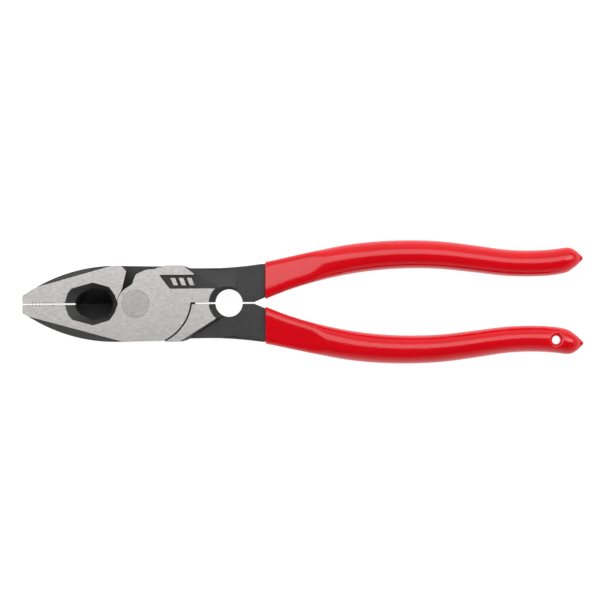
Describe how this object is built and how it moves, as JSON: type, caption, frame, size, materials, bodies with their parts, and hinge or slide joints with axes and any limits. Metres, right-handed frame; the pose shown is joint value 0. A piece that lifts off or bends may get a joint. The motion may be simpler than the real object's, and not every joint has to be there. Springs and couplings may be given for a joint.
{
  "type": "lineman pliers",
  "caption": "Lineman pliers with blunt serrated jaws, side cutter in a polygonal recess, flush riveted lap joint, thread-cleaner hole and glossy red grips.",
  "frame": {"origin": "on the pivot axis, in the ground face of the head that the pliers lie on", "axes": "+X from the jaws to the handles, +Z through the thickness of the head, +Y across the width towards the upper handle"},
  "size_m": [0.2396, 0.053, 0.016],
  "materials": {
    "forged_steel": "ground bright on the faces, black phosphate elsewhere",
    "rivet_steel": "ground flush with the head",
    "grip_plastisol": "glossy dipped and moulded plastisol"
  },
  "bodies": {
    "back_body": {"back_half": "forged_steel", "pivot_rivet": "rivet_steel", "lower_grip": "grip_plastisol"},
    "front_body": {"front_half": "forged_steel", "upper_grip": "grip_plastisol"}
  },
  "joints": [
    {"name": "pivot", "type": "hinge", "parent": "back_body", "child": "front_body", "pos_m": [0, 0, 0.008], "axis": [0, 0, 1], "range_deg": [0, 20]}
  ]
}
